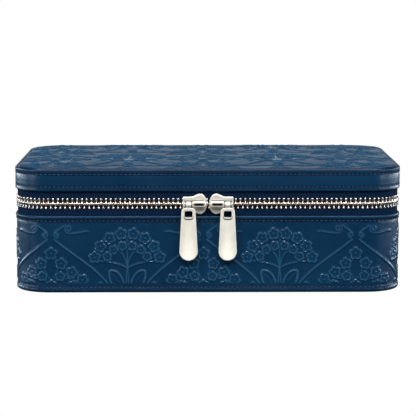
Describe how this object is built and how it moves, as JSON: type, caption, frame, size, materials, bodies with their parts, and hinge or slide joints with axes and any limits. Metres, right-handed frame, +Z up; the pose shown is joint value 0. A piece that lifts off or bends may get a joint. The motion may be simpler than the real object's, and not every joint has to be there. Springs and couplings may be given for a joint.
{
  "type": "leather jewellery case",
  "caption": "Rounded rectangular jewellery case in embossed leather, with a padded hinged lid closed all round by a metal zip with hanging pulls, and a lined inside with ring rolls and bays.",
  "frame": {"origin": "middle of the underside, on the face that the case rests on", "axes": "+Z up, +X along the front to the viewer's right, the front with the zip pulls faces -Y"},
  "size_m": [0.22, 0.1342, 0.0717],
  "materials": {
    "embossed_leather": "petrol blue, semi-gloss, embossed with blossoms",
    "plain_leather": "petrol blue, semi-gloss, smooth",
    "board": "grey board",
    "foam": "soft open-cell foam",
    "lining": "short-pile suede cloth",
    "ring_roll_cloth": "short-pile suede cloth over foam",
    "zip_tape": "navy herringbone weave",
    "zip_metal": "pale gold plate",
    "slider_metal": "pale champagne plate, satin",
    "mirror": "silvered glass"
  },
  "bodies": {
    "base": {"base_bottom_leather": "plain_leather", "base_floor_board": "board", "base_side_leather": "embossed_leather", "base_wall_board": "board", "base_collar": "board", "base_wall_lining": "lining", "base_floor_pad": "foam", "base_floor_lining": "lining", "long_divider_left": "lining", "long_divider_right": "lining", "cross_divider_middle": "lining", "cross_divider_right": "lining", "ring_roll_1": "ring_roll_cloth", "ring_roll_2": "ring_roll_cloth", "ring_roll_3": "ring_roll_cloth", "ring_roll_4": "ring_roll_cloth", "ring_roll_5": "ring_roll_cloth", "ring_roll_6": "ring_roll_cloth", "zip_tape_lower": "zip_tape", "zip_teeth_lower": "zip_metal", "zip_stops_lower": "zip_metal", "hinge_leather": "plain_leather", "hinge_backing": "zip_tape"},
    "lid": {"lid_side_leather": "plain_leather", "lid_wall_board": "board", "lid_top_board": "board", "lid_top_foam": "foam", "lid_top_leather": "embossed_leather", "lid_collar": "board", "lid_wall_lining": "lining", "lid_ceiling_lining": "lining", "mirror_frame": "plain_leather", "mirror_glass": "mirror", "zip_tape_upper": "zip_tape", "zip_teeth_upper": "zip_metal", "zip_stops_upper": "zip_metal"},
    "slider_left": {"slider_body_left": "slider_metal", "slider_cap_left": "slider_metal"},
    "slider_right": {"slider_body_right": "slider_metal", "slider_cap_right": "slider_metal"},
    "pull_left": {"pull_left": "slider_metal"},
    "pull_right": {"pull_right": "slider_metal"}
  },
  "joints": [
    {"name": "lid_hinge", "type": "hinge", "parent": "base", "child": "lid", "pos_m": [0, 0.065, 0.051], "axis": [-1, 0, 0], "range_deg": [0, 105], "deforming": ["hinge_leather", "hinge_backing"]},
    {"name": "left_slider_travel", "type": "slide", "parent": "base", "child": "slider_left", "axis": [-1, 0, 0], "range_m": [0, 0.072]},
    {"name": "right_slider_travel", "type": "slide", "parent": "base", "child": "slider_right", "axis": [1, 0, 0], "range_m": [0, 0.072]},
    {"name": "left_pull_swing", "type": "hinge", "parent": "slider_left", "child": "pull_left", "pos_m": [-0.011, -0.06761, 0.051], "axis": [-1, 0, 0], "range_deg": [-3, 183]},
    {"name": "right_pull_swing", "type": "hinge", "parent": "slider_right", "child": "pull_right", "pos_m": [0.011, -0.06761, 0.051], "axis": [-1, 0, 0], "range_deg": [-3, 183]}
  ]
}
